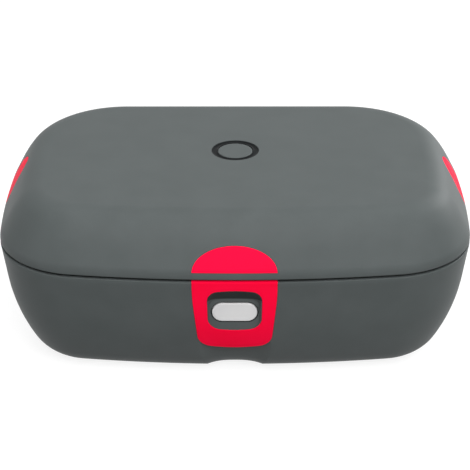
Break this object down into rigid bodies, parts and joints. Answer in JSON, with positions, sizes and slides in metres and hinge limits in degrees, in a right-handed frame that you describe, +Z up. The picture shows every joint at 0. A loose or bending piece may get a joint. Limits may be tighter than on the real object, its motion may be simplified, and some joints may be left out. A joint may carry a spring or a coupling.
{
  "type": "electric lunch box",
  "caption": "Low rounded heated lunch box with a hinged lid, round power button on top, red front latch frame and lift-out dish.",
  "frame": {"origin": "on the ground, under the middle of the bounding box", "axes": "+X along the width, to the right seen from the front; the front with the latch faces -Y; +Z up"},
  "size_m": [0.275, 0.1956, 0.106],
  "materials": {
    "shell_grey": "satin",
    "accent_red": "satin",
    "button_grey": "satin",
    "dark_plastic": "fine texture",
    "ring_dark": "smoked",
    "stainless": "brushed",
    "steel": "bright",
    "aluminium": "satin",
    "mica": "matte",
    "fibre": "felted",
    "ceramic": "matte",
    "board_green": "satin",
    "relay_blue": "gloss",
    "coil_yellow": "satin",
    "wire_brown": "satin",
    "wire_white": "satin",
    "wire_red": "satin",
    "silicone": "matte",
    "contact_gold": "plated",
    "led": "gloss"
  },
  "bodies": {
    "root": {"base_shell": "shell_grey", "latch_frame": "accent_red", "latch_recess": "shell_grey", "latch_housing": "dark_plastic", "latch_springs": "steel", "rim_frame": "dark_plastic", "rim_screws": "steel", "heater_tray": "aluminium", "dish": "stainless", "heater_element": "mica", "heater_clamp": "stainless", "clamp_nuts": "steel", "thermostat": "ceramic", "thermal_fuse": "ceramic", "temperature_sensor": "dark_plastic", "insulation_jacket": "fibre", "insulation_pad": "fibre", "control_board": "board_green", "board_screws": "steel", "relay": "relay_blue", "transformer": "coil_yellow", "smoothing_capacitor": "dark_plastic", "terminal_block": "board_green", "power_inlet": "dark_plastic", "inlet_pins": "steel", "mains_wires": "wire_brown", "heater_wires": "wire_white", "sensor_wires": "dark_plastic", "contact_block": "dark_plastic", "contact_pins": "contact_gold", "feet": "silicone", "hinge_pins": "steel"},
    "latch": {"latch_button": "button_grey", "latch_slider": "dark_plastic"},
    "lid": {"lid_shell": "shell_grey", "lid_front_accent": "accent_red", "lid_left_accent": "accent_red", "lid_right_accent": "accent_red", "lid_liner": "dark_plastic", "lid_reflector": "aluminium", "lid_gasket": "silicone", "lid_insulation": "fibre", "lid_screws": "steel", "latch_hook": "dark_plastic", "light_ring": "ring_dark", "button_board": "board_green", "ring_leds": "led", "button_switch": "dark_plastic", "button_dome": "silicone", "lid_contacts": "contact_gold", "lid_wires": "wire_red"},
    "power_button": {"power_button": "shell_grey"}
  },
  "joints": [
    {"name": "lid_hinge", "type": "hinge", "parent": "root", "child": "lid", "pos_m": [0, 0.0942, 0.07335], "axis": [-1, 0, 0], "range_deg": [0, 100]},
    {"name": "latch_press", "type": "slide", "parent": "root", "child": "latch", "axis": [0, 1, 0], "range_m": [0, 0.0024], "stiffness_N_per_m": 600, "springref_m": -0.002, "deforming": ["latch_springs"]},
    {"name": "power_press", "type": "slide", "parent": "lid", "child": "power_button", "axis": [0, 0, -1], "range_m": [0, 0.0008], "stiffness_N_per_m": 1200, "springref_m": -0.0006, "deforming": ["button_dome"]}
  ]
}
